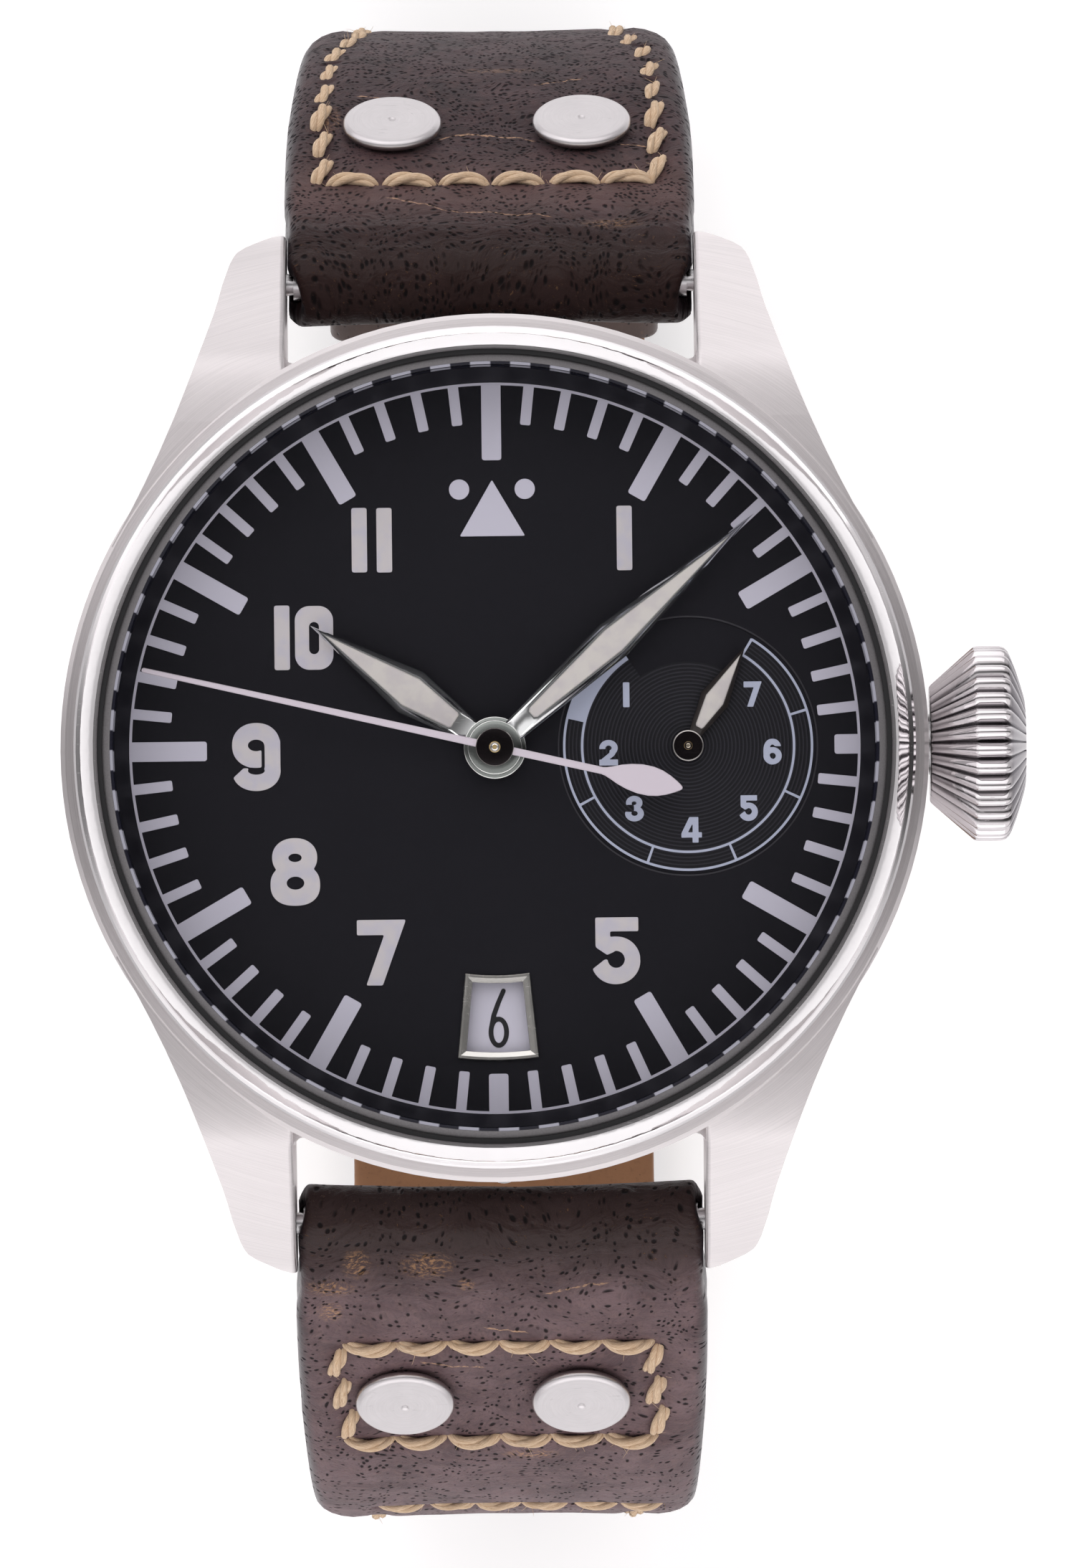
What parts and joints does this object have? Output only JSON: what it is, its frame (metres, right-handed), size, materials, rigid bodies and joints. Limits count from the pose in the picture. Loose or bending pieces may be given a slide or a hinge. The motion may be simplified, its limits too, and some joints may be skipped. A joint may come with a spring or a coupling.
{
  "type": "pilot wristwatch",
  "caption": "Round steel pilot wristwatch with a black dial, luminous hands, date window, power reserve sub-dial, fluted cone crown and riveted brown leather strap, unbuckled and standing.",
  "frame": {"origin": "On the dial axis, on the outer flat face of the case back.", "axes": "+Z leaves the dial, +Y points to 12 o'clock, +X points to the crown at 3 o'clock."},
  "size_m": [0.0515, 0.0854, 0.0778],
  "materials": {
    "brushed_steel": "circular and straight brushed stainless steel",
    "polished_steel": "polished stainless steel",
    "sapphire": "clear domed crystal with a frosted edge",
    "rubber_seal": "black seal",
    "soft_iron": "turned soft iron",
    "black_dial": "matte near-black lacquer",
    "date_steel": "bevelled steel",
    "date_white": "matte white print",
    "hand_steel": "polished steel with a cream luminous fill",
    "hand_white": "satin white lacquer",
    "hand_black": "black lacquer with a cream luminous fill",
    "plated_brass": "rhodium plated, grained",
    "gilt_brass": "gilt",
    "hardened_steel": "hardened and polished",
    "spring_steel": "tempered strip",
    "heavy_metal": "heavy winding weight, plated",
    "brown_leather": "dark brown pebbled calf with tan scuffs",
    "lining_leather": "smooth brown lining",
    "rivet_steel": "circular brushed steel",
    "tan_thread": "twisted tan thread"
  },
  "bodies": {
    "case": {"case_middle": "brushed_steel", "bezel": "polished_steel", "crystal": "sapphire", "crystal_gasket": "rubber_seal", "case_back": "brushed_steel", "case_back_gasket": "rubber_seal", "movement_ring": "soft_iron", "dial_flange": "black_dial", "dial": "black_dial", "date_frame": "date_steel", "mainplate": "plated_brass", "barrel_bridge": "plated_brass", "train_bridge": "plated_brass", "balance_cock": "plated_brass", "pallet_bridge": "plated_brass", "bridge_screws": "hardened_steel", "rotor_bearing": "hardened_steel", "barrel_arbor": "hardened_steel", "crown_tube": "polished_steel", "spring_bar_12": "polished_steel", "spring_bar_6": "polished_steel"},
    "seconds": {"seconds_hand": "hand_white", "fourth_wheel": "gilt_brass"},
    "minutes": {"minute_hand": "hand_steel", "cannon_pinion": "hardened_steel", "center_wheel": "gilt_brass"},
    "hours": {"hour_hand": "hand_steel", "hour_wheel": "gilt_brass"},
    "motion_work": {"minute_wheel": "gilt_brass"},
    "third": {"third_wheel": "gilt_brass"},
    "escape": {"escape_wheel": "hardened_steel"},
    "pallets": {"pallet_fork": "hardened_steel"},
    "balance": {"balance_wheel": "gilt_brass", "hairspring": "spring_steel"},
    "mainspring_barrel": {"barrel": "gilt_brass", "mainspring": "spring_steel"},
    "winding_rotor": {"rotor": "heavy_metal"},
    "date": {"date_disc": "date_white"},
    "reserve": {"reserve_hand": "hand_black", "reserve_wheel": "gilt_brass"},
    "stem_slide": {"setting_lever": "hardened_steel"},
    "crown_stem": {"crown": "polished_steel", "winding_stem": "hardened_steel", "crown_gasket": "rubber_seal"},
    "strap_half_12": {"strap_12": "brown_leather", "strap_12_lining": "lining_leather", "rivets_12": "rivet_steel", "stitching_12": "tan_thread", "fixed_keeper": "brown_leather", "buckle_bar": "polished_steel"},
    "strap_half_6": {"strap_6": "brown_leather", "strap_6_lining": "lining_leather", "rivets_6": "rivet_steel", "stitching_6": "tan_thread"},
    "keeper": {"floating_keeper": "brown_leather"},
    "buckle": {"buckle_frame": "polished_steel"},
    "tang": {"buckle_tang": "polished_steel"}
  },
  "joints": [
    {"name": "seconds_turn", "type": "hinge", "parent": "case", "child": "seconds", "pos_m": [0, 0, 0.0115], "axis": [0, 0, 1], "continuous": true},
    {"name": "minutes_turn", "type": "hinge", "parent": "case", "child": "minutes", "pos_m": [0, 0, 0.0109], "axis": [0, 0, 1], "continuous": true},
    {"name": "hours_turn", "type": "hinge", "parent": "case", "child": "hours", "pos_m": [0, 0, 0.0103], "axis": [0, 0, 1], "continuous": true},
    {"name": "minute_wheel_turn", "type": "hinge", "parent": "case", "child": "motion_work", "pos_m": [-0.0018, 0.00312, 0.0083], "axis": [0, 0, 1], "continuous": true},
    {"name": "third_wheel_turn", "type": "hinge", "parent": "case", "child": "third", "pos_m": [-0.00554, -0.00098, 0.005], "axis": [0, 0, 1], "continuous": true},
    {"name": "escape_wheel_turn", "type": "hinge", "parent": "case", "child": "escape", "pos_m": [0.00181, -0.00496, 0.005], "axis": [0, 0, 1], "continuous": true},
    {"name": "barrel_turn", "type": "hinge", "parent": "case", "child": "mainspring_barrel", "pos_m": [0.00463, 0.00552, 0.005], "axis": [0, 0, 1], "continuous": true},
    {"name": "pallet_swing", "type": "hinge", "parent": "case", "child": "pallets", "pos_m": [0.00282, -0.00775, 0.005], "axis": [0, 0, 1], "range_deg": [-6, 6]},
    {"name": "balance_swing", "type": "hinge", "parent": "case", "child": "balance", "pos_m": [0.00427, -0.01173, 0.0045], "axis": [0, 0, 1], "range_deg": [-270, 270], "stiffness_Nm_per_rad": 0.0000006},
    {"name": "rotor_turn", "type": "hinge", "parent": "case", "child": "winding_rotor", "pos_m": [0, 0, 0.002], "axis": [0, 0, 1], "continuous": true},
    {"name": "date_turn", "type": "hinge", "parent": "case", "child": "date", "pos_m": [0, 0, 0.0087], "axis": [0, 0, 1], "continuous": true},
    {"name": "reserve_turn", "type": "hinge", "parent": "case", "child": "reserve", "pos_m": [0.0103, 0, 0.0099], "axis": [0, 0, 1], "range_deg": [-295.5, 0]},
    {"name": "crown_pull", "type": "slide", "parent": "case", "child": "stem_slide", "axis": [1, 0, 0], "range_m": [0, 0.0016]},
    {"name": "crown_turn", "type": "hinge", "parent": "stem_slide", "child": "crown_stem", "pos_m": [0.0255, 0, 0.0069], "axis": [1, 0, 0], "continuous": true},
    {"name": "strap_12_hinge", "type": "hinge", "parent": "case", "child": "strap_half_12", "pos_m": [0, 0.0253, 0.003], "axis": [1, 0, 0], "range_deg": [-1, 95]},
    {"name": "strap_6_hinge", "type": "hinge", "parent": "case", "child": "strap_half_6", "pos_m": [0, -0.0253, 0.003], "axis": [-1, 0, 0], "range_deg": [-1, 95]},
    {"name": "keeper_slide", "type": "hinge", "parent": "strap_half_12", "child": "keeper", "pos_m": [0, 0.02048, -0.03898], "axis": [-1, 0, 0], "range_deg": [-24, 12]},
    {"name": "buckle_hinge", "type": "hinge", "parent": "strap_half_12", "child": "buckle", "pos_m": [0, 0.02048, -0.05898], "axis": [-1, 0, 0], "range_deg": [-30, 60]},
    {"name": "tang_hinge", "type": "hinge", "parent": "buckle", "child": "tang", "pos_m": [0, 0.02048, -0.05898], "axis": [1, 0, 0], "range_deg": [0, 100]}
  ],
  "couplings": [
    {"joint": "minutes_turn", "follows": "seconds_turn", "ratio": 0.016667},
    {"joint": "hours_turn", "follows": "seconds_turn", "ratio": 0.0013889},
    {"joint": "minute_wheel_turn", "follows": "seconds_turn", "ratio": -0.0055556},
    {"joint": "third_wheel_turn", "follows": "seconds_turn", "ratio": -0.13333},
    {"joint": "escape_wheel_turn", "follows": "seconds_turn", "ratio": -10},
    {"joint": "barrel_turn", "follows": "seconds_turn", "ratio": -0.002381}
  ]
}
